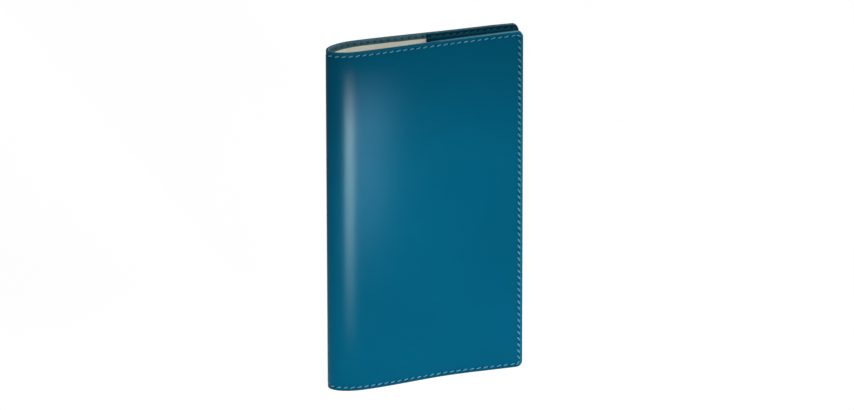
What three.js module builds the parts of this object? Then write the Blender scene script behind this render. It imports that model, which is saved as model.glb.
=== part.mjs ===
// Pocket weekly planner: a sewn refill whose card cover is tucked into the pockets of a leather cover.
// Millimetres, +Z up. It stands on its tail edge, with the spine at -X and the front cover at -Y.
import * as THREE from 'three';

// The leather cover, closed
const coverHeight = 176;
const frontWidth = 93; // spine tip to the front cover's fore edge
const backWidth = 92.9;
const cornerRadius = 2.9;
const noseLength = 15; // depth of the rounded spine, measured along X

// Half thickness of each wall: it drops from its crest beside the spine to a waist, then flares or curls in
const frontTail = { crest: 7.15, drop: 3.3, waist: 62, flare: 0.6 };
const frontHead = { crest: 6.25, drop: 0.95, waist: 78, flare: 0 };
const backTail = { crest: 6.8, drop: 1.65, waist: 91, flare: 0 };
const backHead = { crest: 6.8, drop: 1.7, waist: 78, flare: -0.75 };

// Thicknesses and clearances
const leather = 1.0;
const lining = 0.3;
const flap = 0.6;
const card = 0.35;
const seam = 0.05; // between layers sewn or glued together
const slip = 0.08; // between layers that slide
const edgeRound = 0.2; // burnished edge of the leather
const hingeAngle = 31.8; // where the spine's curve is cut for the hinge, in degrees round the nose
const hingeGap = 1.0; // half the cut, in degrees

// Pocket flaps
const flapStart = 49.2;
const sewnBorder = 1.5;
const borderEase = 0.9;

// The refill
const cardBottom = 3.4;
const cardTop = 173.4;
const cardEnd = 2.9; // from a cover's fore edge to the card's
const cardCorner = 3;
const cardRootAngle = 44;
const cardRootLift = 0.75; // the card leaves the lining as it nears the refill's spine
const cardRootReach = 18;
const spineCardPlace = 4.0;
const spineCardHalf = 2.45;
const mullThickness = 0.22;
const mullHalf = 1.72;
const mullInset = 9;
const foldPlace = 4.85; // back of the sewn folds
const sectionCount = 8;
const sectionPitch = 0.44;
const sectionThickness = 0.41;
const foreThickness = 0.36;
const foreShare = 0.88; // sewing swells the folds, so the block is thinner at its fore edge
const leavesPerSection = 4;
const leafGap = 0.035;
const leafSplitReach = 3; // the leaves of a section part this far beyond its hinge
const pageBottom = 4.4;
const pageTop = 172.4;
const pageEnd = 89.4;
const blockLean = 0.4; // the page block leans back this much by its fore edge
const firstBend = 1.2; // radius that the outermost section bends round
const hingeClearance = 0.15;
const axisAcross = Math.PI / 4; // a quarter bend of radius R turns about a point this many R along
const axisAside = 1 - Math.PI / 4; // and this many R to the inner side

const colours = {
  leather: { color: 0x05506c, roughness: 0.32, metalness: 0 },
  lining: { color: 0x4e6e78, roughness: 0.85, metalness: 0 },
  flap: { color: 0x0c4258, roughness: 0.5, metalness: 0 },
  card: { color: 0xd8d2bc, roughness: 0.8, metalness: 0 },
  mull: { color: 0xe6e2d6, roughness: 0.95, metalness: 0 },
  paper: { color: 0xf1ecdc, roughness: 0.9, metalness: 0 },
};

const smooth = (t) => {
  const k = Math.min(Math.max(t, 0), 1);
  return k * k * (3 - 2 * k);
};
const mix = (a, b, t) => a + (b - a) * t;
const radians = (degrees) => (degrees * Math.PI) / 180;
const wallWidth = (side) => (side < 0 ? frontWidth : backWidth);

// Half thickness of a cover wall at x, and at height z between its tail and head outlines
function wallHalf(side, x, z) {
  const shapes = side < 0 ? [frontTail, frontHead] : [backTail, backHead];
  const [tail, head] = shapes.map((shape) => {
    const drop = shape.drop * smooth((x - noseLength) / (shape.waist - noseLength));
    const flare = shape.flare * smooth((x - shape.waist) / (wallWidth(side) - shape.waist));
    return shape.crest - drop + flare;
  });
  return mix(tail, head, z / coverHeight);
}

// A point of the cover's outline, pushed in by depth. Its place is an angle on the nose or an x on a wall.
function outlinePoint(place, z, depth) {
  const { side, angle, x } = place;
  let point;
  let normal;
  if (angle !== undefined) {
    const half = wallHalf(side, noseLength, z);
    const turn = radians(angle);
    point = new THREE.Vector2(noseLength * (1 - Math.cos(turn)), side * half * Math.sin(turn));
    normal = new THREE.Vector2(-half * Math.cos(turn), side * noseLength * Math.sin(turn));
  } else {
    const step = 0.01;
    const slope = (wallHalf(side, x + step, z) - wallHalf(side, x - step, z)) / (2 * step);
    point = new THREE.Vector2(x, side * wallHalf(side, x, z));
    normal = new THREE.Vector2(-slope, side);
  }
  return point.addScaledVector(normal.normalize(), -depth);
}

const nosePlaces = (side, from, to, count) =>
  Array.from({ length: count + 1 }, (_, i) => ({ side, angle: mix(from, to, i / count) }));

// Places along a wall, even at first and then closer round the fore edge's corner and any extra insets
function wallPlaces(side, from, end, radius, insets = [], spacing = 5.5) {
  const bendStart = end - radius;
  const even = Math.max(1, Math.ceil((bendStart - from) / spacing));
  const xs = Array.from({ length: even + 1 }, (_, i) => mix(from, bendStart, i / even));
  const steps = 6;
  for (let i = 1; i <= steps; i++) xs.push(bendStart + radius * Math.sin((i / steps) * (Math.PI / 2)));
  for (const inset of insets) xs.push(end - inset);
  xs.sort((a, b) => a - b);
  const apart = 0.12;
  const kept = xs.filter((x, i) => i === 0 || i === xs.length - 1 || x - xs[i - 1] > apart);
  return kept.map((x) => ({ side, x }));
}

// How far a rounded fore-edge corner cuts into the height at x
function cornerInset(x, end, radius) {
  const run = x - (end - radius);
  return run <= 0 ? 0 : radius - Math.sqrt(Math.max(radius * radius - run * run, 0));
}

function closedGeometry(points, quads) {
  const triangles = quads.flatMap(([a, b, c, d]) => [[a, b, c], [a, c, d]]);
  let volume = 0;
  for (const [a, b, c] of triangles) volume += points[a].dot(points[b].clone().cross(points[c]));
  const index = triangles.flatMap(([a, b, c]) => (volume < 0 ? [a, c, b] : [a, b, c]));
  const geometry = new THREE.BufferGeometry().setFromPoints(points);
  geometry.setIndex(index);
  return geometry;
}

// A sheet along the cover's outline. The depths of its two faces may change with place and height.
function sheetGeometry(sheet) {
  const { places, outer, inner, bottom = 0, top = coverHeight, end, radius = 0, levels = [0] } = sheet;
  const insets = [...levels, ...levels.map((inset) => -inset).reverse()];
  const grid = { outer: [], inner: [] };
  const points = [];
  for (const place of places) {
    const cut = place.x === undefined || end === undefined ? 0 : cornerInset(place.x, end, radius);
    const low = bottom + cut;
    const high = top - cut;
    const column = { outer: [], inner: [] };
    insets.forEach((inset, j) => {
      const z = j < levels.length ? low + inset : high + inset;
      const foreEdge = end === undefined ? Infinity : end - place.x;
      const reach = { z, foreEdge, edge: Math.min(z - low, high - z) };
      for (const [face, depth] of [['outer', outer(place, reach)], ['inner', inner(place, reach)]]) {
        const at = outlinePoint(place, z, depth);
        column[face].push(points.push(new THREE.Vector3(at.x, at.y, z)) - 1);
      }
    });
    grid.outer.push(column.outer);
    grid.inner.push(column.inner);
  }
  const { outer: o, inner: n } = grid;
  const lastPlace = places.length - 1;
  const lastLevel = insets.length - 1;
  const quads = [];
  for (let i = 0; i < lastPlace; i++) {
    for (let j = 0; j < lastLevel; j++) {
      quads.push([o[i][j], o[i + 1][j], o[i + 1][j + 1], o[i][j + 1]]);
      quads.push([n[i][j], n[i][j + 1], n[i + 1][j + 1], n[i + 1][j]]);
    }
    quads.push([o[i + 1][0], o[i][0], n[i][0], n[i + 1][0]]);
    quads.push([o[i][lastLevel], o[i + 1][lastLevel], n[i + 1][lastLevel], n[i][lastLevel]]);
  }
  for (let j = 0; j < lastLevel; j++) {
    quads.push([o[0][j], o[0][j + 1], n[0][j + 1], n[0][j]]);
    quads.push([o[lastPlace][j + 1], o[lastPlace][j], n[lastPlace][j], n[lastPlace][j + 1]]);
  }
  return closedGeometry(points, quads);
}

const planner = new THREE.Group();
planner.position.set(-frontWidth / 2, (frontTail.crest - backTail.crest) / 2, 0);

function addPiece(name, geometry, look) {
  const mesh = new THREE.Mesh(geometry, new THREE.MeshStandardMaterial(colours[look]));
  mesh.name = name;
  planner.add(mesh);
}

// Leather: full thickness with its outer edge rounded off
const roundedOff = (reach) => (Math.min(reach.edge, reach.foreEdge) < edgeRound / 2 ? edgeRound : 0);
const leatherFaces = {
  outer: (place, reach) => roundedOff(reach),
  inner: () => leather,
  levels: [0, edgeRound],
};
const liningFaces = { outer: () => leather + seam, inner: () => leather + seam + lining };

function coverLeather(side) {
  const end = wallWidth(side);
  const nose = nosePlaces(side, hingeAngle + hingeGap, 84, 10);
  const wall = wallPlaces(side, noseLength, end, cornerRadius, [edgeRound]);
  return sheetGeometry({ places: [...nose, ...wall], end, radius: cornerRadius, ...leatherFaces });
}

function coverLining(side) {
  const end = wallWidth(side);
  const nose = nosePlaces(side, hingeAngle + hingeGap, 84, 10);
  const wall = wallPlaces(side, noseLength, end, cornerRadius);
  return sheetGeometry({ places: [...nose, ...wall], end, radius: cornerRadius, ...liningFaces });
}

// The spine strip runs round the tip of the nose, from the front hinge to the back hinge
function spineStrip(faces) {
  const reach = hingeAngle - hingeGap;
  const front = nosePlaces(-1, reach, 0, 8);
  const back = nosePlaces(1, 0, reach, 8).slice(1);
  return sheetGeometry({ places: [...front, ...back], ...faces });
}

// A pocket flap lies on the lining along its sewn border and stands off it over the card
function pocketFlap(side) {
  const end = wallWidth(side);
  const base = leather + seam + lining + seam;
  const lift = (reach) => {
    const distance = Math.min(reach.edge, reach.foreEdge);
    return (card + slip + slip - seam) * smooth((distance - sewnBorder) / borderEase);
  };
  const borderSteps = [sewnBorder, sewnBorder + borderEase / 2, sewnBorder + borderEase];
  return sheetGeometry({
    places: wallPlaces(side, flapStart, end, cornerRadius, borderSteps),
    end,
    radius: cornerRadius,
    levels: [0, ...borderSteps],
    outer: (place, reach) => base + lift(reach),
    inner: (place, reach) => base + lift(reach) + flap,
  });
}

// Each half of the refill's card cover slides behind a flap and swings away from the lining near its fold
function coverCard(side) {
  const end = wallWidth(side) - cardEnd;
  const base = leather + seam + lining + slip;
  const along = (place) => place.x ?? noseLength * (1 - Math.cos(radians(place.angle)));
  const lift = (place) => cardRootLift * (1 - smooth((along(place) - spineCardPlace) / cardRootReach));
  const nose = nosePlaces(side, cardRootAngle, 84, 8);
  const wall = wallPlaces(side, noseLength, end, cardCorner);
  return sheetGeometry({
    places: [...nose, ...wall],
    end,
    radius: cardCorner,
    bottom: cardBottom,
    top: cardTop,
    outer: (place) => base + lift(place),
    inner: (place) => base + lift(place) + card,
  });
}

// A prism from a closed outline in the XY plane, standing between two heights
function uprightPrism(outline, bottom, top) {
  const geometry = new THREE.ExtrudeGeometry(new THREE.Shape(outline), {
    depth: top - bottom,
    bevelEnabled: false,
    curveSegments: 6,
  });
  return geometry.translate(0, 0, bottom);
}

const at = (x, y) => new THREE.Vector2(x, y);

function stripOutline(x, thickness, half) {
  return [at(x, -half), at(x + thickness, -half), at(x + thickness, half), at(x, half)];
}

// Sections 1 to 4 open with the front cover, 5 to 8 with the back, and inner ones bend round the outer
function sectionHinge(index) {
  const half = sectionCount / 2;
  const side = index < half ? -1 : 1;
  const fromOutside = side < 0 ? index : sectionCount - 1 - index;
  const bend = firstBend + fromOutside * sectionPitch;
  const y = (index - (sectionCount - 1) / 2) * sectionPitch;
  return { side, y, x: foldPlace + axisAcross * bend, axisY: y + side * axisAside * bend };
}

// The sewn fold: rounded at the back, cut at the hinge line
function sectionFold(index) {
  const { x, y } = sectionHinge(index);
  const radius = sectionThickness / 2;
  const end = x - hingeClearance;
  const outline = [at(end, y - radius), at(end, y + radius)];
  const arcSteps = 6;
  for (let i = 0; i <= arcSteps; i++) {
    const turn = Math.PI / 2 + (i / arcSteps) * Math.PI;
    outline.push(at(foldPlace + radius + radius * Math.cos(turn), y + radius * Math.sin(turn)));
  }
  return uprightPrism(outline, pageBottom, pageTop);
}

// The leaves: one body at the hinge line, parted into thin leaves towards the fore edge
function sectionLeaves(index) {
  const { x, y } = sectionHinge(index);
  const start = x + hingeClearance;
  const foreY = y * foreShare + blockLean;
  const outline = [at(start, y + sectionThickness / 2), at(start, y - sectionThickness / 2)];
  const leafPitch = (foreThickness + leafGap) / leavesPerSection;
  for (let leaf = 0; leaf < leavesPerSection; leaf++) {
    const low = foreY - foreThickness / 2 + leaf * leafPitch;
    const high = low + leafPitch - leafGap;
    outline.push(at(pageEnd, low), at(pageEnd, high));
    const share = (leaf + 1) / leavesPerSection - 1 / 2;
    if (leaf < leavesPerSection - 1) outline.push(at(start + leafSplitReach, y + share * sectionThickness));
  }
  return uprightPrism(outline, pageBottom, pageTop);
}

for (const [side, name] of [[-1, 'front'], [1, 'back']]) {
  addPiece(`${name}_cover_leather`, coverLeather(side), 'leather');
  addPiece(`${name}_cover_lining`, coverLining(side), 'lining');
  addPiece(`${name}_pocket_flap`, pocketFlap(side), 'flap');
  addPiece(`${name}_card`, coverCard(side), 'card');
}
addPiece('spine_leather', spineStrip(leatherFaces), 'leather');
addPiece('spine_lining', spineStrip(liningFaces), 'lining');
const spineCardOutline = stripOutline(spineCardPlace, card, spineCardHalf);
addPiece('spine_card', uprightPrism(spineCardOutline, cardBottom, cardTop), 'card');
const mullPlace = foldPlace - slip - mullThickness;
const mullOutline = stripOutline(mullPlace, mullThickness, mullHalf);
addPiece('spine_mull', uprightPrism(mullOutline, cardBottom + mullInset, cardTop - mullInset), 'mull');
for (let index = 0; index < sectionCount; index++) {
  addPiece(`section_${index + 1}_fold`, sectionFold(index), 'paper');
  addPiece(`section_${index + 1}_leaves`, sectionLeaves(index), 'paper');
}

export default planner;
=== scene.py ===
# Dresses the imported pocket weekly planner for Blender 4.5: camera, light, and every layer of cover and refill.
# Layers are cut flat in millimetres, laid on the cover's outline and then scaled to metres.
import math

import bmesh
import bpy
import numpy as np
from mathutils import Matrix, Quaternion, Vector


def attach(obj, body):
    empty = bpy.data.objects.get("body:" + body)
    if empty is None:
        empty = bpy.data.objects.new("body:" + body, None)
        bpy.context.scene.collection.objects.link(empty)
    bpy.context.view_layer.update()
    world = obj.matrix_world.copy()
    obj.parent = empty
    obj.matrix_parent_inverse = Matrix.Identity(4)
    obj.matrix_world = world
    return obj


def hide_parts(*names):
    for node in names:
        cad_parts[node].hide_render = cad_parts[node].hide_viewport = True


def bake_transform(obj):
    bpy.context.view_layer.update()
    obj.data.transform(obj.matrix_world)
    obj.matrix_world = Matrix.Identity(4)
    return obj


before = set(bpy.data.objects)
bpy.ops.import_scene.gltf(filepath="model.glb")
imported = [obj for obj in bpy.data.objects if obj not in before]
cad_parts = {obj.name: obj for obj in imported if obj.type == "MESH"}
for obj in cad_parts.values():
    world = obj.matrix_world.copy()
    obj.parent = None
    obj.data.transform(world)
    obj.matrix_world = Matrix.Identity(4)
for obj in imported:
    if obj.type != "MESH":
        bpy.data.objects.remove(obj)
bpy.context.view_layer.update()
mm = 0.001
scene = bpy.context.scene
scene.view_settings.view_transform = "Standard"
print("frame loaded:", len(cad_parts), "CAD nodes")

# Camera: the photograph's angle, through a long lens
cameraValues = {
    "azimuth": 15.23,
    "elevation": 27.52,
    "roll": -0.133,
    "distance": 5.861,
    "target": (0, 0.000175, 0.088),
    "across": 0.00159,
    "up": 0.00122,
    "lens": 532.1,
    "sensor": 36,
    "clip": (0.1, 60),
}


def makeCamera(v):
    turn, tilt, roll = (math.radians(v[k]) for k in ("azimuth", "elevation", "roll"))
    back = Vector((-math.sin(turn) * math.cos(tilt), -math.cos(turn) * math.cos(tilt), math.sin(tilt)))
    right = Vector((math.cos(turn), -math.sin(turn), 0))
    up = back.cross(right)
    rolledRight = right * math.cos(roll) + up * math.sin(roll)
    rolledUp = up * math.cos(roll) - right * math.sin(roll)
    data = bpy.data.cameras.new("photoCamera")
    data.sensor_width = v["sensor"]
    data.lens = v["lens"]
    data.clip_start, data.clip_end = v["clip"]
    camera = bpy.data.objects.new("photoCamera", data)
    place = Vector(v["target"]) + back * v["distance"] + rolledRight * v["across"] + rolledUp * v["up"]
    turned = Matrix((rolledRight, rolledUp, back)).transposed().to_4x4()
    camera.matrix_world = Matrix.Translation(place) @ turned
    scene.collection.objects.link(camera)
    scene.camera = camera


makeCamera(cameraValues)
print("camera placed")

# The cover's outline, as the frame has it: a rounded nose at the spine, then one wall on each side
cover = {
    "height": 176,
    "noseLength": 15,
    "cornerRadius": 2.9,
    "width": {-1: 93, 1: 92.9},
    "centre": (-46.5, 0.175),
    "tail": {-1: (7.15, 3.3, 62, 0.6), 1: (6.8, 1.65, 91, 0)},  # crest, drop, waist and flare
    "head": {-1: (6.25, 0.95, 78, 0), 1: (6.8, 1.7, 78, -0.75)},
    "hingeAngle": 31.8,
    "hingeReach": 4.0,
}
sideNames = {-1: "front", 1: "back"}


def smooth(t):
    k = np.clip(t, 0, 1)
    return k * k * (3 - 2 * k)


def wallHalf(side, x, z):
    # Half the thickness at x, between its shapes at the tail and at the head
    halves = []
    for crest, drop, waist, flare in (cover["tail"][side], cover["head"][side]):
        fallen = drop * smooth((x - cover["noseLength"]) / (waist - cover["noseLength"]))
        spread = flare * smooth((x - waist) / (cover["width"][side] - waist))
        halves.append(crest - fallen + spread)
    return halves[0] + (halves[1] - halves[0]) * z / cover["height"]


def outlinePoint(side, q, z, depth):
    # q runs from -1 at the nose tip to 0 where the wall starts, then on in millimetres along the wall
    nose = q < 0
    length = cover["noseLength"]
    turn = np.pi / 2 * (1 + np.minimum(q, 0))
    x = length + np.maximum(q, 0)
    step = 0.01
    half = wallHalf(side, x, z)
    slope = (wallHalf(side, x + step, z) - wallHalf(side, x - step, z)) / (2 * step)
    px = np.where(nose, length * (1 - np.cos(turn)), x)
    py = side * half * np.where(nose, np.sin(turn), 1)
    nx = np.where(nose, -half * np.cos(turn), -slope)
    ny = side * np.where(nose, length * np.sin(turn), 1)
    size = np.hypot(nx, ny)
    return px - depth * nx / size, py - depth * ny / size


def makeRuler(side):
    # Length along the leather at half height, against q
    wall = cover["width"][side] - cover["noseLength"]
    q = np.concatenate((np.linspace(-1, 0, 181)[:-1], np.linspace(0, wall, 400)))
    x, y = outlinePoint(side, q, np.full_like(q, cover["height"] / 2), 0)
    lengths = np.concatenate(([0], np.cumsum(np.hypot(np.diff(x), np.diff(y)))))
    return lengths, q


rulers = {side: makeRuler(side) for side in sideNames}


def runAt(side, x):
    # Length along the leather from the nose tip to x on the wall
    return float(np.interp(x - cover["noseLength"], rulers[side][1], rulers[side][0]))


foreRun = {side: runAt(side, cover["width"][side]) for side in sideNames}


def onCover(side, u, z, depth):
    u, z, depth = np.broadcast_arrays(*(np.asarray(value, float) for value in (u, z, depth)))
    return outlinePoint(side, np.interp(u, *rulers[side]), z, depth)


def edgeDistance(u, z, end, radius):
    # Distance in from the head, tail and fore edge of a full-height sheet with rounded fore-edge corners
    middle = cover["height"] / 2
    across = u - (end - radius)
    along = np.abs(z - middle) - (middle - radius)
    corner = radius - np.hypot(np.maximum(across, 0), np.maximum(along, 0))
    return np.where((across > 0) & (along > 0), corner, radius - np.maximum(across, along))


def cutSheet(start, end, bottom, top, thickness, uCuts, zCuts, radius=0.0, rim=0.0, openStart=False):
    # A flat sheet: x along the cover, y up it, z through its thickness, with rounded corners at its far end
    tiny, margin = 0.001, 0.05
    bm = bmesh.new()
    bmesh.ops.create_grid(bm, x_segments=1, y_segments=1, size=0.5)
    bmesh.ops.scale(bm, vec=(end - start, top - bottom, 1), verts=bm.verts[:])
    bmesh.ops.translate(bm, vec=((start + end) / 2, (bottom + top) / 2, 0), verts=bm.verts[:])
    if radius:
        corners = [v for v in bm.verts if v.co.x > end - tiny]
        bmesh.ops.bevel(
            bm, geom=corners, offset=radius, affect="VERTICES", segments=8, profile=0.5, material=-1
        )
    for axis, cuts, low, high in ((0, uCuts, start, end), (1, zCuts, bottom, top)):
        normal = Vector((1, 0, 0) if axis == 0 else (0, 1, 0))
        for cut in cuts:
            if low + margin < cut < high - margin:
                bmesh.ops.bisect_plane(
                    bm,
                    geom=bm.verts[:] + bm.edges[:] + bm.faces[:],
                    plane_co=normal * cut,
                    plane_no=normal,
                    dist=1e-4,
                )
    bmesh.ops.solidify(bm, geom=bm.faces[:], thickness=thickness)
    lowest = min(v.co.z for v in bm.verts)
    bmesh.ops.translate(bm, vec=(0, 0, -lowest), verts=bm.verts[:])
    bm.normal_update()
    if rim:
        chosen = []
        for edge in bm.edges:
            first, second = edge.verts
            level = abs(first.co.z - second.co.z) < thickness / 4
            turned = len(edge.link_faces) == 2 and edge.calc_face_angle(0) > 1
            atStart = openStart and max(first.co.x, second.co.x) < start + tiny
            if level and turned and not atStart:
                chosen.append(edge)
        bmesh.ops.bevel(
            bm, geom=chosen, offset=rim, affect="EDGES", segments=3, profile=0.5, material=-1, clamp_overlap=True
        )
    bm.normal_update()
    uv = bm.loops.layers.uv.new("UVMap")
    for face in bm.faces:
        face.smooth = True
        face.material_index = 0 if abs(face.normal.z) > 0.8 else 1  # broad sides, then cut edges
        for loop in face.loops:
            loop[uv].uv = (loop.vert.co.x * mm, loop.vert.co.y * mm)
    return bm


def evenCuts(low, high, spacing):
    count = max(1, round((high - low) / spacing))
    return [low + (high - low) * i / count for i in range(1, count)]


def bendSheet(bm, where):
    # Moves every vertex from its place in the flat to where(u, z, w) in the planner's outline
    co = np.array([v.co for v in bm.verts], float)
    x, y = where(co[:, 0], co[:, 1], co[:, 2])
    for vert, px, py in zip(bm.verts, x, y):
        vert.co = (px, py, vert.co.y)


def makePiece(name, bm, materials, sharpAngle=40):
    # Finishes a piece at the origin, in metres, with the planner's own centre
    bmesh.ops.translate(bm, vec=(*cover["centre"], 0), verts=bm.verts[:])
    bmesh.ops.scale(bm, vec=(mm, mm, mm), verts=bm.verts[:])
    bmesh.ops.recalc_face_normals(bm, faces=bm.faces[:])
    mesh = bpy.data.meshes.new(name)
    bm.to_mesh(mesh)
    bm.free()
    for material in materials:
        mesh.materials.append(material)
    mesh.set_sharp_from_angle(angle=math.radians(sharpAngle))
    piece = bpy.data.objects.new(name, mesh)
    scene.collection.objects.link(piece)
    return piece


def blendAtHinge(piece):
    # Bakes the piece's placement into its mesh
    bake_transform(piece)


# Node helpers
def setInputs(tree, node, inputs):
    for key, value in inputs.items():
        if isinstance(value, bpy.types.NodeSocket):
            tree.links.new(value, node.inputs[key])
        else:
            node.inputs[key].default_value = value


def addNode(tree, kind, inputs=None, **settings):
    made = tree.nodes.new(kind)
    for key, value in settings.items():
        setattr(made, key, value)
    setInputs(tree, made, inputs or {})
    return made


def calc(tree, operation, first, second=0.0, third=0.0, clamp=False):
    inputs = {0: first, 1: second, 2: third}
    return addNode(tree, "ShaderNodeMath", inputs, operation=operation, use_clamp=clamp).outputs[0]


def ramp(tree, value, low, high, start=0.0, end=1.0, **settings):
    # Runs from start to end while value goes from low to high
    return addNode(tree, "ShaderNodeMapRange", {0: value, 1: low, 2: high, 3: start, 4: end}, **settings).outputs[0]


def mixColours(tree, factor, first, second):
    return addNode(tree, "ShaderNodeMix", {0: factor, 6: first, 7: second}, data_type="RGBA").outputs[2]


def noise(tree, vector, scale, detail, **inputs):
    return addNode(tree, "ShaderNodeTexNoise", {"Vector": vector, "Scale": scale, "Detail": detail, **inputs}).outputs


def bump(tree, height, strength, distance, **inputs):
    inputs = {"Height": height, "Strength": strength, "Distance": distance, **inputs}
    return addNode(tree, "ShaderNodeBump", inputs).outputs[0]


def splitVector(tree, vector):
    return addNode(tree, "ShaderNodeSeparateXYZ", {0: vector}).outputs


def srgb(red, green, blue):
    linear = []
    for channel in (red, green, blue):
        c = channel / 255
        linear.append(c / 12.92 if c <= 0.04045 else ((c + 0.055) / 1.055) ** 2.4)
    return (*linear, 1)


def makeGroup(name, inputs, outputs):
    # Inputs have names and defaults, None for a vector; every output is a number
    group = bpy.data.node_groups.new(name, "ShaderNodeTree")
    for socketName, value in inputs.items():
        kind = "NodeSocketVector" if value is None else "NodeSocketFloat"
        socket = group.interface.new_socket(name=socketName, in_out="INPUT", socket_type=kind)
        if value is not None:
            socket.default_value = value
    for socketName in outputs:
        group.interface.new_socket(name=socketName, in_out="OUTPUT", socket_type="NodeSocketFloat")
    return group, group.nodes.new("NodeGroupInput").outputs, group.nodes.new("NodeGroupOutput")


def placeGroup(tree, group, inputs):
    return addNode(tree, "ShaderNodeGroup", inputs, node_tree=group).outputs


def newMaterial(name):
    material = bpy.data.materials.new(name)
    material.use_nodes = True
    tree = material.node_tree
    uv = addNode(tree, "ShaderNodeUVMap", uv_map="UVMap")
    return material, tree, tree.nodes["Principled BSDF"], uv.outputs[0]


# Hide grain: fine pebbles with a slow change of tone, on coordinates in metres
grainValues = {
    "warpScale": 900.0,
    "warp": 0.00035,
    "poreScale": 5200.0,
    "pebbleDepth": -0.8,
    "toneScale": 38.0,
    "cloudScale": 11.0,
}


def makeGrainGroup(v):
    group, given, leave = makeGroup("hideGrain", {"Vector": None, "Scale": 1800.0}, ["Height", "Tone", "Cloud"])
    vector = given["Vector"]
    warp = noise(group, vector, v["warpScale"], 2.0)["Color"]
    bent = addNode(group, "ShaderNodeVectorMath", {0: warp, 1: (v["warp"],) * 3}, operation="MULTIPLY")
    moved = addNode(group, "ShaderNodeVectorMath", {0: vector, 1: bent.outputs[0]}, operation="ADD")
    spread = {"Vector": moved.outputs[0], "Scale": given["Scale"]}
    pebbles = addNode(group, "ShaderNodeTexVoronoi", spread, feature="F1")
    pores = noise(group, vector, v["poreScale"], 3.0)["Fac"]
    setInputs(group, leave, {
        "Height": calc(group, "MULTIPLY_ADD", pebbles.outputs["Distance"], v["pebbleDepth"], pores),
        "Tone": noise(group, vector, v["toneScale"], 4.0, Roughness=0.6)["Fac"],
        "Cloud": noise(group, vector, v["cloudScale"], 2.0)["Fac"],
    })
    return group


# Sewn row: how far a point is from the row, and where the awl's holes and the pulled-in leather lie along it
seamValues = {"rowReach": 0.0009, "holeReach": 0.00032, "holeShare": 0.16}


def makeSeamGroup(v):
    group, given, leave = makeGroup(
        "sewnRow",
        {
            "Vector": None,
            "End": 0.095,
            "Height": 0.176,
            "Corner": 0.004,
            "Inset": 0.0018,
            "Pitch": 0.00325,
            "First": 0.003,
        },
        ["Row", "Hole", "Pull", "Edge"],
    )
    u, z = splitVector(group, given["Vector"])[:2]
    middle = calc(group, "MULTIPLY", given["Height"], 0.5)
    beyondFore = calc(group, "SUBTRACT", u, calc(group, "SUBTRACT", given["End"], given["Corner"]))
    fromMiddle = calc(group, "ABSOLUTE", calc(group, "SUBTRACT", z, middle))
    beyondHead = calc(group, "SUBTRACT", fromMiddle, calc(group, "SUBTRACT", middle, given["Corner"]))
    squares = [calc(group, "POWER", calc(group, "MAXIMUM", run, 0.0), 2.0) for run in (beyondFore, beyondHead)]
    corner = calc(group, "SQRT", calc(group, "ADD", *squares))
    straight = calc(group, "MINIMUM", calc(group, "MAXIMUM", beyondFore, beyondHead), 0.0)
    edge = calc(group, "SUBTRACT", given["Corner"], calc(group, "ADD", corner, straight))
    away = calc(group, "ABSOLUTE", calc(group, "SUBTRACT", edge, given["Inset"]))
    row = calc(group, "SUBTRACT", 1.0, calc(group, "DIVIDE", away, v["rowReach"]), clamp=True)
    onFore = calc(group, "GREATER_THAN", beyondFore, beyondHead)
    headRun = calc(group, "SUBTRACT", u, given["First"])
    fore = calc(group, "SUBTRACT", z, given["Corner"])
    run = calc(group, "ADD", headRun, calc(group, "MULTIPLY", onFore, calc(group, "SUBTRACT", fore, headRun)))
    phase = calc(group, "FRACT", calc(group, "DIVIDE", run, given["Pitch"]))
    fromHole = calc(group, "MINIMUM", phase, calc(group, "SUBTRACT", 1.0, phase))
    hole = calc(group, "SUBTRACT", 1.0, calc(group, "DIVIDE", fromHole, v["holeShare"]), clamp=True)
    tight = calc(group, "SUBTRACT", 1.0, calc(group, "DIVIDE", away, v["holeReach"]), clamp=True)
    wave = calc(group, "COSINE", calc(group, "MULTIPLY", phase, 2 * math.pi))
    setInputs(group, leave, {
        "Row": row,
        "Hole": calc(group, "MULTIPLY", hole, tight),
        "Pull": calc(group, "MULTIPLY", wave, row),
        "Edge": edge,
    })
    return group


# Plain weave on coordinates in metres: over and under threads, with the slubs of a natural yarn
def makeWeaveGroup(slubScale):
    group, given, leave = makeGroup("plainWeave", {"Vector": None, "Pitch": 0.0004}, ["Height", "Slub"])
    runs = splitVector(group, given["Vector"])[:2]
    turns = [calc(group, "DIVIDE", run, given["Pitch"]) for run in runs]
    waves = [calc(group, "SINE", calc(group, "MULTIPLY", turn, math.pi)) for turn in turns]
    crossed = calc(group, "MULTIPLY", waves[0], waves[1])
    rounded = [calc(group, "ABSOLUTE", wave) for wave in waves]
    over = calc(group, "GREATER_THAN", crossed, 0.0)
    difference = calc(group, "SUBTRACT", rounded[0], rounded[1])
    stretched = addNode(group, "ShaderNodeMapping", {"Vector": given["Vector"], "Scale": slubScale})
    setInputs(group, leave, {
        "Height": calc(group, "MULTIPLY_ADD", over, difference, rounded[1]),
        "Slub": noise(group, stretched.outputs[0], 1.0, 2.0)["Fac"],
    })
    return group


grainGroup = makeGrainGroup(grainValues)
seamGroup = makeSeamGroup(seamValues)
weaveGroup = makeWeaveGroup((300, 3200, 1))

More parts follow.
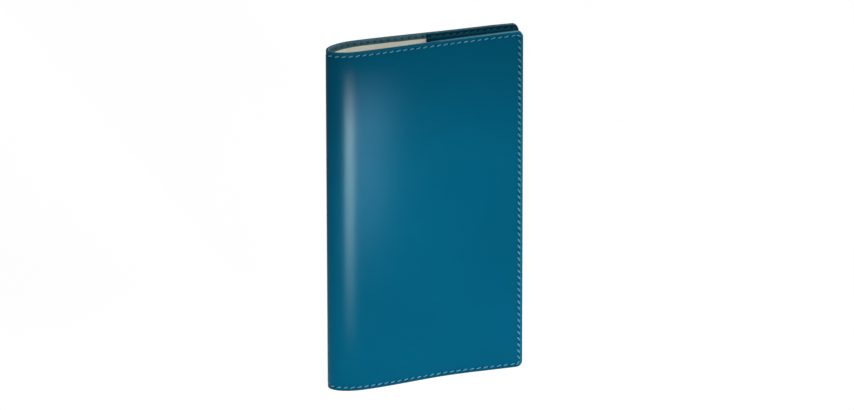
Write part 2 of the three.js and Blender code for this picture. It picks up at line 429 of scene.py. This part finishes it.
sewing = {
    "pitch": 3.25,
    "inset": 1.8,
    "firstRun": 3.2,
    "length": 2.35,
    "radius": 0.26,
    "width": 1.15,  # of the thread's radius
    "foreWidth": 1.45,
    "slant": 14,
    "foreSlant": 28,
    "endShape": 0.8,
    "sink": 0.45,
    "insideInset": 1.4,
    "insideShare": 0.55,
    "insideLift": 0.2,
    "groove": 0.18,
    "grooveReach": 0.55,
    "flapGroove": 0.6,  # of the groove's depth
    "press": 0.2,
    "pressReach": 1.7,
}
leatherLook = {
    "colour": srgb(0, 94, 126),
    "deep": srgb(0, 80, 110),
    "cloud": 0.35,
    # colour of lighter rubbed patches, and of the painted highlight along the cut edges
    "rubbedAndHighlight": srgb(6, 112, 142),
    "mottle": 0.12,
    # painted highlight along the cut edges: how strong it is, and how far in it reaches
    "edgeHighlight": 0.45,
    "edgeHighlightReach": 0.0014,
    # painted shade along the foot: its colour, how strong it is, and the height it fades out by
    "foot": srgb(0, 76, 98),
    "footShade": 0.6,
    "footRise": 0.0016,
    "band": srgb(40, 128, 142),
    "bandShade": 0.6,
    "bandReach": (0.0014, 0.00112),  # in from the fore edge: where the band starts, and where it is full
    "bandRim": (0.0009, 0.0005),
    # painted shade along the sewn row's groove, and darker still in its stitch holes
    "rowShade": 0.75,
    "hole": srgb(0, 42, 60),
    "roughness": (0.23, 0.26),
    "specular": 0.06,
    "tint": (0.28, 0.74, 1.0, 1),
    "grainScale": 1500.0,
    "bump": 0.05,
    "bumpDepth": 0.0002,
    "unevenness": 0.4,
    "unevenDepth": 0.002,
    "pull": -0.35,
    "relief": 0.6,
}
# The flaps are the cover's leather painted darker: painted shade inside the cover
flapLook = {
    **leatherLook,
    "colour": srgb(4, 62, 84),
    "deep": srgb(2, 46, 64),
    "rubbedAndHighlight": srgb(18, 88, 108),
    "band": srgb(10, 70, 92),
    "bump": 0.09,
}


def seamInputs(uv, end, inset):
    return {
        "Vector": uv,
        "End": end * mm,
        "Corner": cover["cornerRadius"] * mm,
        "Inset": inset * mm,
        "Pitch": sewing["pitch"] * mm,
        "First": (sewing["firstRun"] - sewing["pitch"] / 2) * mm,
    }


def makeLeather(name, look, end, inset):
    material, tree, shader, uv = newMaterial(name)
    grain = placeGroup(tree, grainGroup, {"Vector": uv, "Scale": look["grainScale"]})
    seam = placeGroup(tree, seamGroup, seamInputs(uv, end, inset))
    u, z = splitVector(tree, uv)[:2]
    band = ramp(tree, u, *(end * mm - reach for reach in look["bandReach"]), 0.0, look["bandShade"])
    rim = ramp(tree, u, *(end * mm - reach for reach in look["bandRim"]), 1.0, 0.1)
    toned = look["colour"]
    for factor, colour in (
        (ramp(tree, grain["Cloud"], 0.35, 0.65, 0.0, look["cloud"]), "deep"),
        (ramp(tree, grain["Tone"], 0.3, 0.8, 0.0, look["mottle"]), "rubbedAndHighlight"),
        # lighter towards every cut edge: a painted highlight
        (ramp(tree, seam["Edge"], 0.0, look["edgeHighlightReach"], look["edgeHighlight"], 0.0), "rubbedAndHighlight"),
        # darker towards the foot: painted shade
        (ramp(tree, z, look["footRise"] / 2, look["footRise"], look["footShade"], 0.0), "foot"),
        (calc(tree, "MULTIPLY", band, rim), "band"),
        # darker along the sewn row and in its holes: painted shade
        (calc(tree, "MULTIPLY", seam["Row"], look["rowShade"]), "deep"),
        (seam["Hole"], "hole"),
    ):
        toned = mixColours(tree, factor, toned, look[colour])
    normal = bump(tree, grain["Cloud"], look["unevenness"], look["unevenDepth"])
    normal = bump(tree, grain["Height"], look["bump"], look["bumpDepth"], Normal=normal)
    pulled = calc(tree, "SUBTRACT", calc(tree, "MULTIPLY", seam["Pull"], look["pull"]), seam["Hole"])
    setInputs(tree, shader, {
        "Base Color": toned,
        "Roughness": ramp(tree, grain["Tone"], 0.2, 0.8, *look["roughness"]),
        "Normal": bump(tree, pulled, look["relief"], look["bumpDepth"], Normal=normal),
        "Specular IOR Level": look["specular"],
        "Specular Tint": look["tint"],
    })
    return material


# Only the front's cut edge gets the painted highlight; the back's and the flaps' edges have none
rimLook = {
    "colour": srgb(2, 46, 58),
    "deep": srgb(0, 30, 40),
    # colour of the painted highlight on the front's cut edge
    "rubbedAndHighlight": srgb(84, 146, 166),
    "from": 0.056,
    "reach": 0.05,
    "highlightRange": (0.3, 1.0),
    "streakScale": 420.0,
    "roughness": (0.42, 0.58),
    "poreScale": 3200.0,
    "bump": 0.15,
    "bumpDepth": 0.0002,
    "specular": 0.06,
}
plainRimLook = {**rimLook, "rubbedAndHighlight": None}
flapRimLook = {**plainRimLook, "colour": srgb(8, 56, 74), "deep": srgb(2, 36, 50)}


def makeBurnishedEdge(name, look):
    # Painted edge of the leather, with the streaks of the slicking tool; past the pocket's mouth a painted highlight
    # makes it lighter
    material, tree, shader, uv = newMaterial(name)
    streaks = noise(tree, uv, look["streakScale"], 4.0)["Fac"]
    mask = ramp(tree, streaks, 0.35, 0.65)
    painted = mixColours(tree, mask, look["colour"], look["deep"])
    if look["rubbedAndHighlight"]:
        u = splitVector(tree, uv)[0]
        lighter = ramp(tree, u, look["from"], look["from"] + look["reach"], *look["highlightRange"])
        beyond = calc(tree, "MULTIPLY", lighter, calc(tree, "GREATER_THAN", u, look["from"]))
        edgeHighlight = calc(tree, "MULTIPLY", beyond, calc(tree, "MULTIPLY_ADD", mask, -0.3, 0.95))
        painted = mixColours(tree, edgeHighlight, painted, look["rubbedAndHighlight"])
    setInputs(tree, shader, {
        "Base Color": painted,
        "Roughness": ramp(tree, streaks, 0.3, 0.7, *look["roughness"]),
        "Normal": bump(tree, noise(tree, uv, look["poreScale"], 3.0)["Fac"], look["bump"], look["bumpDepth"]),
        "Specular IOR Level": look["specular"],
    })
    return material


liningLook = {
    "colour": srgb(90, 134, 146),
    "deep": srgb(50, 96, 108),
    # painted shade along the sewn row: its colour, how strong it is between the stitches, and in the whole row
    "gap": srgb(16, 44, 66),
    "gapShade": 0.8,
    "rowShade": 0.15,
    "pitch": 0.00042,
    "cloudScale": 150.0,
    "cloud": 0.4,
    "slub": 0.35,
    "bump": 0.5,
    "bumpDepth": 0.0001,
    "roughness": 0.72,
    "specular": 0.15,
    "sheen": 0.25,
    "sheenRoughness": 0.4,
}
tapeLook = {
    **liningLook,
    "colour": srgb(232, 228, 216),
    "deep": srgb(196, 188, 168),
    "gap": None,
    "pitch": 0.0005,
    "sheen": 0.1,
}


def makeCloth(name, look):
    # Where a look has a gap colour, the cloth is painted darker along its sewn row and between its stitches: painted
    # shade
    material, tree, shader, uv = newMaterial(name)
    weave = placeGroup(tree, weaveGroup, {"Vector": uv, "Pitch": look["pitch"]})
    shade = mixColours(tree, weave["Height"], look["deep"], look["colour"])
    cloud = noise(tree, uv, look["cloudScale"], 4.0)["Fac"]
    shade = mixColours(tree, ramp(tree, cloud, 0.3, 0.7, 0.0, look["cloud"]), shade, look["deep"])
    shade = mixColours(tree, ramp(tree, weave["Slub"], 0.55, 0.75, 0.0, look["slub"]), shade, look["colour"])
    if look["gap"]:
        seam = placeGroup(tree, seamGroup, seamInputs(uv, foreRun[-1], sewing["insideInset"]))
        between = calc(tree, "MULTIPLY", calc(tree, "MAXIMUM", seam["Pull"], 0.0), look["gapShade"])
        darker = calc(tree, "MULTIPLY_ADD", seam["Row"], look["rowShade"], between)
        shade = mixColours(tree, darker, shade, look["gap"])
    setInputs(tree, shader, {
        "Base Color": shade,
        "Normal": bump(tree, weave["Height"], look["bump"], look["bumpDepth"]),
        "Roughness": look["roughness"],
        "Specular IOR Level": look["specular"],
        "Sheen Weight": look["sheen"],
        "Sheen Roughness": look["sheenRoughness"],
    })
    return material


outerThreadLook = {
    "colour": srgb(108, 174, 204),
    "deep": srgb(24, 98, 132),
    "twist": 4.0,
    "bump": 0.6,
    "bumpDepth": 0.0001,
    "roughness": 0.5,
    "specular": 0.12,
}
# The inside stitches are the same thread painted darker: painted shade inside the cover
innerThreadLook = {**outerThreadLook, "colour": srgb(58, 112, 134), "deep": srgb(26, 70, 92)}


def makeThread(name, look):
    # Waxed linen thread: plies twist round each stitch
    material, tree, shader, uv = newMaterial(name)
    along, around = splitVector(tree, uv)[:2]
    twist = calc(tree, "MULTIPLY_ADD", along, look["twist"], around)
    ply = calc(tree, "ABSOLUTE", calc(tree, "SINE", calc(tree, "MULTIPLY", twist, math.pi)))
    setInputs(tree, shader, {
        "Base Color": mixColours(tree, ply, look["deep"], look["colour"]),
        "Normal": bump(tree, ply, look["bump"], look["bumpDepth"]),
        "Roughness": look["roughness"],
        "Specular IOR Level": look["specular"],
    })
    return material


cardLook = {
    "colour": srgb(249, 250, 240),
    "deep": srgb(238, 240, 228),
    "fibre": 900.0,
    "cloudScale": 60.0,
    "ruled": 0.0,
    "bump": 0.2,
    "bumpDepth": 0.0001,
    "roughness": 0.85,
    "specular": 0.12,
}
pageLook = {**cardLook, "colour": srgb(240, 235, 220), "deep": srgb(226, 219, 200), "fibre": 1500.0, "ruled": 0.5}
cutEdgeLook = {**cardLook, "colour": srgb(222, 214, 192), "deep": srgb(178, 168, 140), "fibre": 2600.0}
ruling = {
    "spacing": 0.0062,
    "line": 0.00013,
    "colour": srgb(150, 160, 166),
    "bottom": 0.012,
    "top": 0.161,
    "inside": 0.012,
    "outside": 0.0805,
}


def makePaper(name, look):
    material, tree, shader, uv = newMaterial(name)
    fibres = noise(tree, uv, look["fibre"], 5.0, Roughness=0.65)["Fac"]
    patchy = calc(tree, "MULTIPLY", fibres, noise(tree, uv, look["cloudScale"], 2.0)["Fac"])
    colour = mixColours(tree, ramp(tree, patchy, 0.15, 0.42), look["deep"], look["colour"])
    if look["ruled"]:
        u, z = splitVector(tree, uv)[:2]
        across = calc(tree, "ABSOLUTE", u)
        phase = calc(tree, "FRACT", calc(tree, "DIVIDE", z, ruling["spacing"]))
        drawn = calc(tree, "LESS_THAN", phase, ruling["line"] / ruling["spacing"])
        for run, low, high in ((z, "bottom", "top"), (across, "inside", "outside")):
            drawn = calc(tree, "MULTIPLY", drawn, calc(tree, "GREATER_THAN", run, ruling[low]))
            drawn = calc(tree, "MULTIPLY", drawn, calc(tree, "LESS_THAN", run, ruling[high]))
        colour = mixColours(tree, calc(tree, "MULTIPLY", drawn, look["ruled"]), colour, ruling["colour"])
    setInputs(tree, shader, {
        "Base Color": colour,
        "Normal": bump(tree, fibres, look["bump"], look["bumpDepth"]),
        "Roughness": look["roughness"],
        "Specular IOR Level": look["specular"],
    })
    return material


def makeHides(name, look, inset):
    return {side: makeLeather(sideNames[side] + name, look, foreRun[side], inset) for side in sideNames}


hides = makeHides("Hide", leatherLook, sewing["inset"])
flapHides = makeHides("FlapHide", flapLook, sewing["insideInset"])
rims = {-1: makeBurnishedEdge("frontRim", rimLook), 1: makeBurnishedEdge("backRim", plainRimLook)}
flapRim = makeBurnishedEdge("flapEdge", flapRimLook)
liningCloth = makeCloth("liningCloth", liningLook)
tapeCloth = makeCloth("spineTapeCloth", tapeLook)
threads = [makeThread("outerThread", outerThreadLook), makeThread("innerThread", innerThreadLook)]
cardStock = makePaper("cardStock", cardLook)
pagePaper = makePaper("pagePaper", pageLook)
cutPaper = makePaper("cutPaper", cutEdgeLook)
print("materials made:", len(bpy.data.materials))

# Layers of the cover, in millimetres from the outline inwards
layers = {
    "leather": 1.0,
    "leatherRim": 0.3,
    "liningDepth": 1.05,
    "lining": 0.3,
    "flapDepth": 1.4,
    "flap": 0.6,
    "flapRim": 0.14,
    "flapStart": 49.2,
    "flapLift": 0.46,
    "sewnBorder": 1.5,
    "borderEase": 0.9,
    "noseCut": 0.7,
    "wallCut": 4,
    "heightCut": 8,
    "foreClear": 4,  # where the wide cuts stop, before the fore edge and before head and tail
    "headClear": 3.5,
    "liningCuts": (6, 11),
}
noseCuts = [layers["noseCut"] * i for i in range(1, 27)]
rowSteps = (-0.9, -0.5, -0.25, 0, 0.25, 0.5, 0.9)


def coverCuts(side):
    # Close cuts round the nose and on both sides of the sewn rows, and wider ones between them
    end, height = foreRun[side], cover["height"]
    clear = layers["headClear"]
    row = [sewing["inset"] + step for step in rowSteps]
    foreRow = [end - sewing["inset"] - step for step in rowSteps]
    uCuts = noseCuts + evenCuts(noseCuts[-1], end - layers["foreClear"], layers["wallCut"]) + foreRow
    zCuts = row + [height - place for place in row] + evenCuts(clear, height - clear, layers["heightCut"])
    return uCuts, zCuts


def sewnDent(distance, inset):
    # The tightened row sinks into the leather
    return sewing["groove"] * np.exp(-(((distance - inset) / sewing["grooveReach"]) ** 2))


def pressedBorder(distance):
    # Outside the row the leather is hammered thinner towards its edge
    return sewing["press"] * (1 - smooth(distance / sewing["pressReach"]))


def makeSkin(side):
    end = foreRun[side]
    uCuts, zCuts = coverCuts(side)
    bm = cutSheet(
        0, end, 0, cover["height"], layers["leather"], uCuts, zCuts, cover["cornerRadius"], layers["leatherRim"], True
    )

    def where(u, z, w):
        distance = edgeDistance(u, z, end, cover["cornerRadius"])
        dent = sewnDent(distance, sewing["inset"]) + pressedBorder(distance)
        return onCover(side, u, z, w + np.where(w < layers["leather"] / 2, dent, 0))

    bendSheet(bm, where)
    piece = makePiece(f"{sideNames[side]}_leather", bm, [hides[side], rims[side]])
    blendAtHinge(piece)
    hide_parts(f"{sideNames[side]}_cover_leather", *(["spine_leather"] if side < 0 else []))


def makeLining(side):
    end, height = foreRun[side], cover["height"]
    wallCut, heightCut = layers["liningCuts"]
    uCuts = noseCuts + evenCuts(noseCuts[-1], end - layers["foreClear"], wallCut)
    zCuts = evenCuts(0, height, heightCut)
    bm = cutSheet(0, end, 0, height, layers["lining"], uCuts, zCuts, cover["cornerRadius"])
    bendSheet(bm, lambda u, z, w: onCover(side, u, z, layers["liningDepth"] + w))
    piece = makePiece(f"{sideNames[side]}_lining", bm, [liningCloth, liningCloth])
    blendAtHinge(piece)
    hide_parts(f"{sideNames[side]}_cover_lining", *(["spine_lining"] if side < 0 else []))


def flapRise(side, u, z):
    # The flap steps up from its sewn border over the card
    distance = edgeDistance(u, z, foreRun[side], cover["cornerRadius"])
    return layers["flapLift"] * smooth((distance - layers["sewnBorder"]) / layers["borderEase"])


def makeFlap(side):
    start, end = runAt(side, layers["flapStart"]), foreRun[side]
    uCuts, zCuts = coverCuts(side)
    bm = cutSheet(
        start, end, 0, cover["height"], layers["flap"], uCuts, zCuts, cover["cornerRadius"], layers["flapRim"]
    )

    def where(u, z, w):
        distance = edgeDistance(u, z, end, cover["cornerRadius"])
        dent = sewnDent(distance, sewing["insideInset"]) * sewing["flapGroove"]
        inner = w > layers["flap"] / 2
        return onCover(side, u, z, layers["flapDepth"] + flapRise(side, u, z) + w - np.where(inner, dent, 0))

    bendSheet(bm, where)
    piece = makePiece(f"{sideNames[side]}_flap", bm, [flapHides[side], flapRim])
    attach(piece, f"{sideNames[side]}_cover")
    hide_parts(f"{sideNames[side]}_pocket_flap")


def stitchPlaces(side, inset):
    # Places and directions of the stitches: tail row, round the fore edge, head row
    end, radius = foreRun[side], cover["cornerRadius"]
    pitch, height = sewing["pitch"], cover["height"]
    rowCount = int((end - radius - sewing["firstRun"]) / pitch) + 1
    tail = [(sewing["firstRun"] + pitch * i, inset, 0) for i in range(rowCount)]
    head = [(u, height - inset, 0) for u, _, _ in tail]
    foreCount = int((height - 2 * radius) / pitch)
    spare = (height - 2 * radius - foreCount * pitch) / 2
    fore = [(end - inset, radius + spare + pitch * (i + 0.5), 90) for i in range(foreCount)]
    bend = (radius - inset) * math.sqrt(0.5)
    corners = [(end - radius + bend, radius - bend, 45), (end - radius + bend, height - radius + bend, 135)]
    return tail + fore + head + corners


def makeStitches(side):
    # Both sides of the seam in one piece; on the inside the thread is thinner and slants the other way
    bm = bmesh.new()
    uv = bm.loops.layers.uv.new("UVMap")
    flapRun = runAt(side, layers["flapStart"])
    halfLength = sewing["length"] / 2
    insides = set()
    for inside in (False, True):
        for u, z, turn in stitchPlaces(side, sewing["insideInset" if inside else "inset"]):
            if inside and flapRun - halfLength < u < flapRun + halfLength:
                continue
            onFore = turn == 90
            slant = sewing["foreSlant" if onFore else "slant"] * -side * (-1 if inside else 1)
            turned = Matrix.Rotation(math.radians(turn + slant), 4, "Z")
            thick = sewing["radius"] * (sewing["insideShare"] if inside else 1)
            width = thick * sewing["foreWidth" if onFore else "width"]
            shaped = Matrix.Diagonal((halfLength, width, thick, 1))
            made = bmesh.ops.create_uvsphere(
                bm, u_segments=8, v_segments=6, radius=1, matrix=Matrix.Rotation(math.pi / 2, 4, "Y")
            )
            for vert in made["verts"]:
                for loop in vert.link_loops:
                    loop[uv].uv = (vert.co.x * 0.8, math.atan2(vert.co.z, vert.co.y) / (2 * math.pi))
                rounder = math.copysign(abs(vert.co.x) ** sewing["endShape"], vert.co.x)
                vert.co = (rounder, vert.co.y, vert.co.z)
            bmesh.ops.transform(bm, matrix=Matrix.Translation((u, z, 0)) @ turned @ shaped, verts=made["verts"])
            if inside:
                insides.update(made["verts"])
                for face in {face for vert in made["verts"] for face in vert.link_faces}:
                    face.material_index = 1
    flags = np.array([vert in insides for vert in bm.verts])

    def where(u, z, w):
        dent = sewing["flapGroove"] * sewing["groove"]
        onFlap = layers["flapDepth"] + flapRise(side, u, z) + layers["flap"] - dent
        onLining = layers["liningDepth"] + layers["lining"]
        inner = np.where(u > flapRun, onFlap, onLining) + sewing["insideLift"] * sewing["radius"]
        outer = sewing["groove"] - sewing["sink"] * sewing["radius"]
        return onCover(side, u, z, np.where(flags, inner, outer) + w)

    bendSheet(bm, where)
    for face in bm.faces:
        face.smooth = True
    piece = makePiece(f"{sideNames[side]}_stitching", bm, threads, 80)
    blendAtHinge(piece)


for side in sideNames:
    makeSkin(side)
    makeLining(side)
    makeFlap(side)
    makeStitches(side)
print("cover made")

# The refill: a card cover folded round sewn sections
refill = {
    "bottom": 3.4,
    "top": 173.4,
    "cardEnd": 2.9,
    "cardCorner": 3,
    "cardDepth": 1.43,
    "card": 0.35,
    "cardRim": 0.06,
    "rootAngle": 44,
    "rootLift": 0.75,
    "rootReach": 18,
    "spinePlace": 4.0,
    "spineHalf": 1.9,
    "spineTurn": 1.75,
    "leaving": 1.2,  # how firmly the curve beside the folded spine keeps its direction at both ends
    "meeting": (1.6, 0.8),
    "bendStart": (4.1, 2.3),
    "bendEnd": (14, 5.6),
    "closeCuts": 0.35,
    "bendCuts": (5.6, 24, 1.2),
    "wallCut": 8,
    "foreClear": 3,
    "heightCut": 12,
}


def cardRoot(side, z, w):
    # Where the card leaves its folded spine and meets the cover's curve
    q = np.full_like(z, refill["rootAngle"] / 90 - 1)
    return outlinePoint(side, q, z, refill["cardDepth"] + refill["rootLift"] + w)


def makeCard(side):
    v = refill
    rootRun = float(np.interp(v["rootAngle"] / 90 - 1, rulers[side][1], rulers[side][0]))
    shift = v["spineHalf"] + v["spineTurn"] - rootRun  # flat length of the folded spine, against the cover's run
    end = runAt(side, cover["width"][side] - v["cardEnd"]) + shift

    def where(u, z, w):
        flat = (v["spinePlace"] + w, side * u)
        t = np.clip((u - v["spineHalf"]) / v["spineTurn"], 0, 1)
        rootX, rootY = cardRoot(side, z, w)
        # A smooth curve from the folded spine to the place where the card lies on the cover
        h00, h10 = 2 * t**3 - 3 * t**2 + 1, t**3 - 2 * t**2 + t
        h01, h11 = 3 * t**2 - 2 * t**3, t**3 - t**2
        meetX, meetY = v["meeting"]
        curved = (
            h00 * flat[0] + h01 * rootX + h11 * meetX,
            side * (h00 * v["spineHalf"] + h10 * v["leaving"] + h01 * np.abs(rootY) + h11 * meetY),
        )
        run = np.maximum(u - shift, rootRun)
        x = np.interp(run, *rulers[side])
        along = np.where(x < 0, cover["noseLength"] * (1 - np.cos(np.pi / 2 * (1 + x))), cover["noseLength"] + x)
        lift = v["rootLift"] * (1 - smooth((along - v["spinePlace"]) / v["rootReach"]))
        lying = onCover(side, run, z, v["cardDepth"] + lift + w)
        picked = [
            np.where(u < v["spineHalf"], a, np.where(u < v["spineHalf"] + v["spineTurn"], b, c))
            for a, b, c in zip(flat, curved, lying)
        ]
        return picked[0], picked[1]

    near, far, spacing = v["bendCuts"]
    uCuts = [v["closeCuts"] * i for i in range(1, 16)] + evenCuts(near, far, spacing)
    uCuts += evenCuts(far, end - v["foreClear"], v["wallCut"])
    zCuts = evenCuts(v["bottom"], v["top"], v["heightCut"])
    bm = cutSheet(0, end, v["bottom"], v["top"], v["card"], uCuts, zCuts, v["cardCorner"], v["cardRim"], True)
    bendSheet(bm, where)
    piece = makePiece(f"{sideNames[side]}_card_cover", bm, [cardStock, cutPaper])
    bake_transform(piece)
    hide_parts(f"{sideNames[side]}_card", *(["spine_card"] if side < 0 else []))


spineTape = {"place": 4.55, "thickness": 0.22, "half": 1.72, "bottom": 12.4, "top": 164.4, "heightCut": 10}


def makeSpineTape(v):
    zCuts = evenCuts(v["bottom"], v["top"], v["heightCut"])
    bm = cutSheet(-v["half"], v["half"], v["bottom"], v["top"], v["thickness"], [-0.9, 0, 0.9], zCuts)
    bendSheet(bm, lambda u, z, w: (v["place"] + w, u))
    piece = makePiece("spine_tape", bm, [tapeCloth, tapeCloth])
    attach(piece, "spine")
    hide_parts("spine_mull")


pages = {
    "bottom": 4.4,
    "top": 172.4,
    "sections": 8,
    "foldPlace": 4.85,
    "pitch": 0.44,
    "leaf": 0.088,
    "radii": (0.158, 0.054),  # of each folded sheet's middle line, from the outermost
    "endHalf": (0.136, 0.045),
    "end": 89.4,
    "lean": 0.4,
    "foreShare": 0.88,  # the sewn folds are thicker than the fore edge
    "firstBend": 1.2,
    "closeCuts": 0.55,
    "wideCuts": (9, 17),
}


def makeSection(index):
    v = pages
    middle = (index - (v["sections"] - 1) / 2) * v["pitch"]
    centre = v["foldPlace"] + (v["radii"][0] + v["leaf"] / 2)
    alongCut, heightCut = v["wideCuts"]
    zCuts = evenCuts(v["bottom"], v["top"], heightCut)
    whole = bmesh.new()
    for radius, endHalf in zip(v["radii"], v["endHalf"]):
        quarter = radius * math.pi / 2
        reach = quarter + v["end"] - centre
        near = [quarter * i / 4 for i in range(5)] + [quarter + v["closeCuts"] * i for i in range(1, 14)]
        cuts = near + [near[-1]] + evenCuts(near[-1], reach, alongCut)
        uCuts = sorted({round(value, 5) for cut in cuts for value in (cut, -cut)})
        bm = cutSheet(-reach, reach, v["bottom"], v["top"], v["leaf"], uCuts, zCuts)

        def where(u, z, w):
            run, arm = np.abs(u), np.sign(u)
            turn = np.minimum(run / radius, np.pi / 2)
            straight = np.maximum(run - quarter, 0)
            share = straight / (v["end"] - centre)
            lean = v["lean"] * share + middle * (v["foreShare"] - 1) * share
            offset = w - v["leaf"] / 2
            halfGap = radius + (endHalf - radius) * share
            x = centre - (radius + offset) * np.cos(turn) + straight
            y = middle + lean + arm * (np.where(straight > 0, halfGap + offset, (radius + offset) * np.sin(turn)))
            return x, y

        bendSheet(bm, where)
        scrap = bpy.data.meshes.new("scrap")
        bm.to_mesh(scrap)
        bm.free()
        whole.from_mesh(scrap)
        bpy.data.meshes.remove(scrap)
    piece = makePiece(f"section_{index + 1}", whole, [pagePaper, cutPaper])
    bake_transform(piece)
    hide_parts(f"section_{index + 1}_fold", f"section_{index + 1}_leaves")


for side in sideNames:
    makeCard(side)
makeSpineTape(spineTape)
for index in range(pages["sections"]):
    makeSection(index)
print("refill made")

# Floor, backdrop and lamps. Lamps with a cone are pools of soft light on matt surfaces, and panels with faded
# edges are seen in gloss alone; they turn with a cover, so that it never opens into them.
studio = {
    "floorSize": 12,
    "floorColour": (0.72, 0.72, 0.72, 1),
    "floorGlow": 0.74,
    "glowStrength": 1.2,
    "skyLow": 0.03,
    "skyRise": 0.27,
    "poolSoftness": 0.04,
    "panelSpread": 100,
}
lampValues = {
    "softTop": {"place": (0.5, -0.9, 1.5), "aim": (0, 0, 0.08), "size": (1.2, 1.2), "power": 11},
    "softRear": {"place": (0.5, 1.0, 1.6), "aim": (0, 0, 0.08), "size": (1.0, 1.0), "power": 8, "inGloss": False},
    "headPool": {"place": (0.0, -0.04, 1.5), "aim": (-0.005, 0, 0.17), "cone": 9, "power": 38},
    "frontHigh": {"place": (0.15, -1.6, 0.43), "aim": (0.01, 0, 0.08), "cone": 10, "power": 21},
    "frontLow": {"place": (0.15, -1.6, 0.39), "aim": (0.01, 0, 0.04), "cone": 10, "power": 32},
    "frontMiddle": {"place": (0.15, -1.6, 0.45), "aim": (-0.006, 0, 0.1), "cone": 3, "power": 27},
    "spineLow": {"place": (-1.6, -0.35, 0.27), "aim": (-0.046, 0, -0.03), "cone": 9, "power": 24},
    "rearPool": {"place": (0.2, 1.6, 0.45), "aim": (0.01, 0, 0.07), "cone": 12, "power": 50},
    "sidePool": {"place": (1.6, 0.2, 0.4), "aim": (0.046, 0, 0.07), "cone": 11, "power": 40},
    "spineStrip": {
        "place": (-0.0431, -0.06, 0.0634),
        "aim": (-0.0431, 0, 0.0634),
        "lean": -2.6,
        "size": (0.036, 0.1633),
        "fade": (0.5, 0.5, 0.82, 0.25),
        "power": 1.73,
        "turnsWith": "front_cover",
        "colour": (1, 0.39, 0.28),
    },
    "windowPanel": {
        "place": (-0.011, -0.06, 0.0825),
        "aim": (-0.011, 0, 0.0825),
        "size": (0.042, 0.125),
        "fade": (0.35, 0.55, 0.68, 0.27),
        "power": 0.26,
        "turnsWith": "front_cover",
        "colour": (1, 0.65, 0.65),
    },
    "rearWindow": {
        "place": (0.07, 0.15, 0.06),
        "aim": (0.02, 0, 0.06),
        "size": (0.1, 0.12),
        "fade": (0.5, 0.5, 0.5, 0.5),
        "power": 0.2,
        "turnsWith": "back_cover",
        "colour": (1, 0.9, 0.9),
    },
}


def seenByEye(tree):
    # 1 for what the camera sees, directly, mirrored or through something clear
    rays = tree.nodes.new("ShaderNodeLightPath").outputs
    either = calc(tree, "MAXIMUM", rays["Is Camera Ray"], rays["Is Glossy Ray"])
    return calc(tree, "MAXIMUM", either, rays["Is Transmission Ray"])


def makeFloor(v):
    bm = bmesh.new()
    bmesh.ops.create_grid(bm, x_segments=4, y_segments=4, size=v["floorSize"])
    mesh = bpy.data.meshes.new("floor")
    bm.to_mesh(mesh)
    bm.free()
    material = bpy.data.materials.new("paleFloor")
    material.use_nodes = True
    tree = material.node_tree
    tree.nodes.remove(tree.nodes["Principled BSDF"])
    matte = addNode(tree, "ShaderNodeBsdfDiffuse", {"Color": v["floorColour"]})
    glow = addNode(tree, "ShaderNodeEmission", {"Color": (1, 1, 1, 1), "Strength": v["glowStrength"]})
    share = calc(tree, "MULTIPLY", seenByEye(tree), v["floorGlow"])
    mixed = addNode(tree, "ShaderNodeMixShader", {0: share, 1: matte.outputs[0], 2: glow.outputs[0]})
    setInputs(tree, tree.nodes["Material Output"], {"Surface": mixed.outputs[0]})
    mesh.materials.append(material)
    floor = bpy.data.objects.new("floor", mesh)
    scene.collection.objects.link(floor)


def makeWorld(v):
    # White where it is seen, and a dim sky that brightens upwards where it only lights
    world = bpy.data.worlds.new("studioWorld")
    scene.world = world
    world.use_nodes = True
    tree = world.node_tree
    rise = splitVector(tree, addNode(tree, "ShaderNodeTexCoord").outputs["Generated"])[2]
    squared = calc(tree, "POWER", calc(tree, "MAXIMUM", rise, 0.0), 2.0)
    level = calc(tree, "MULTIPLY_ADD", squared, v["skyRise"], v["skyLow"])
    strength = calc(tree, "MAXIMUM", seenByEye(tree), level)
    setInputs(tree, tree.nodes["Background"], {"Color": (1, 1, 1, 1), "Strength": strength})


def fadeEdges(data, shares):
    # A panel that is brightest inside and falls off over its left, right, lower and upper share
    data.use_nodes = True
    tree = data.node_tree
    place = splitVector(tree, addNode(tree, "ShaderNodeNewGeometry").outputs["Parametric"])
    level = 1.0
    for index, share in enumerate(shares):
        run = place[index // 2]
        if index % 2:
            run = calc(tree, "SUBTRACT", 1.0, run)
        level = calc(tree, "MULTIPLY", ramp(tree, run, 0.0, share, interpolation_type="SMOOTHSTEP"), level)
    emission = next(node for node in tree.nodes if node.type == "EMISSION")
    setInputs(tree, emission, {"Strength": level})


def makeLamp(name, lamp, v):
    pool, panel = "cone" in lamp, "fade" in lamp
    data = bpy.data.lights.new(name, "SPOT" if pool else "AREA")
    data.energy = lamp["power"]
    data.color = lamp.get("colour", (1, 1, 1))
    if pool:
        data.spot_size = math.radians(lamp["cone"])
        data.spot_blend = 1
        data.shadow_soft_size = v["poolSoftness"]
    else:
        data.shape = "RECTANGLE"
        data.size, data.size_y = lamp["size"]
    if panel:
        data.spread = math.radians(v["panelSpread"])
        fadeEdges(data, lamp["fade"])
    holder = bpy.data.objects.new(name, data)
    holder.location = lamp["place"]
    aim = Vector(lamp["aim"]) - Vector(lamp["place"])
    lean = Quaternion((0, 0, 1), math.radians(lamp.get("lean", 0)))
    holder.rotation_euler = (aim.to_track_quat("-Z", "Y") @ lean).to_euler()
    holder.visible_camera = False
    holder.visible_diffuse = not panel
    holder.visible_glossy = not pool and lamp.get("inGloss", True)
    scene.collection.objects.link(holder)
    if "turnsWith" in lamp:
        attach(holder, lamp["turnsWith"])


makeFloor(studio)
makeWorld(studio)
for name, lamp in lampValues.items():
    makeLamp(name, lamp, studio)
print("studio made")
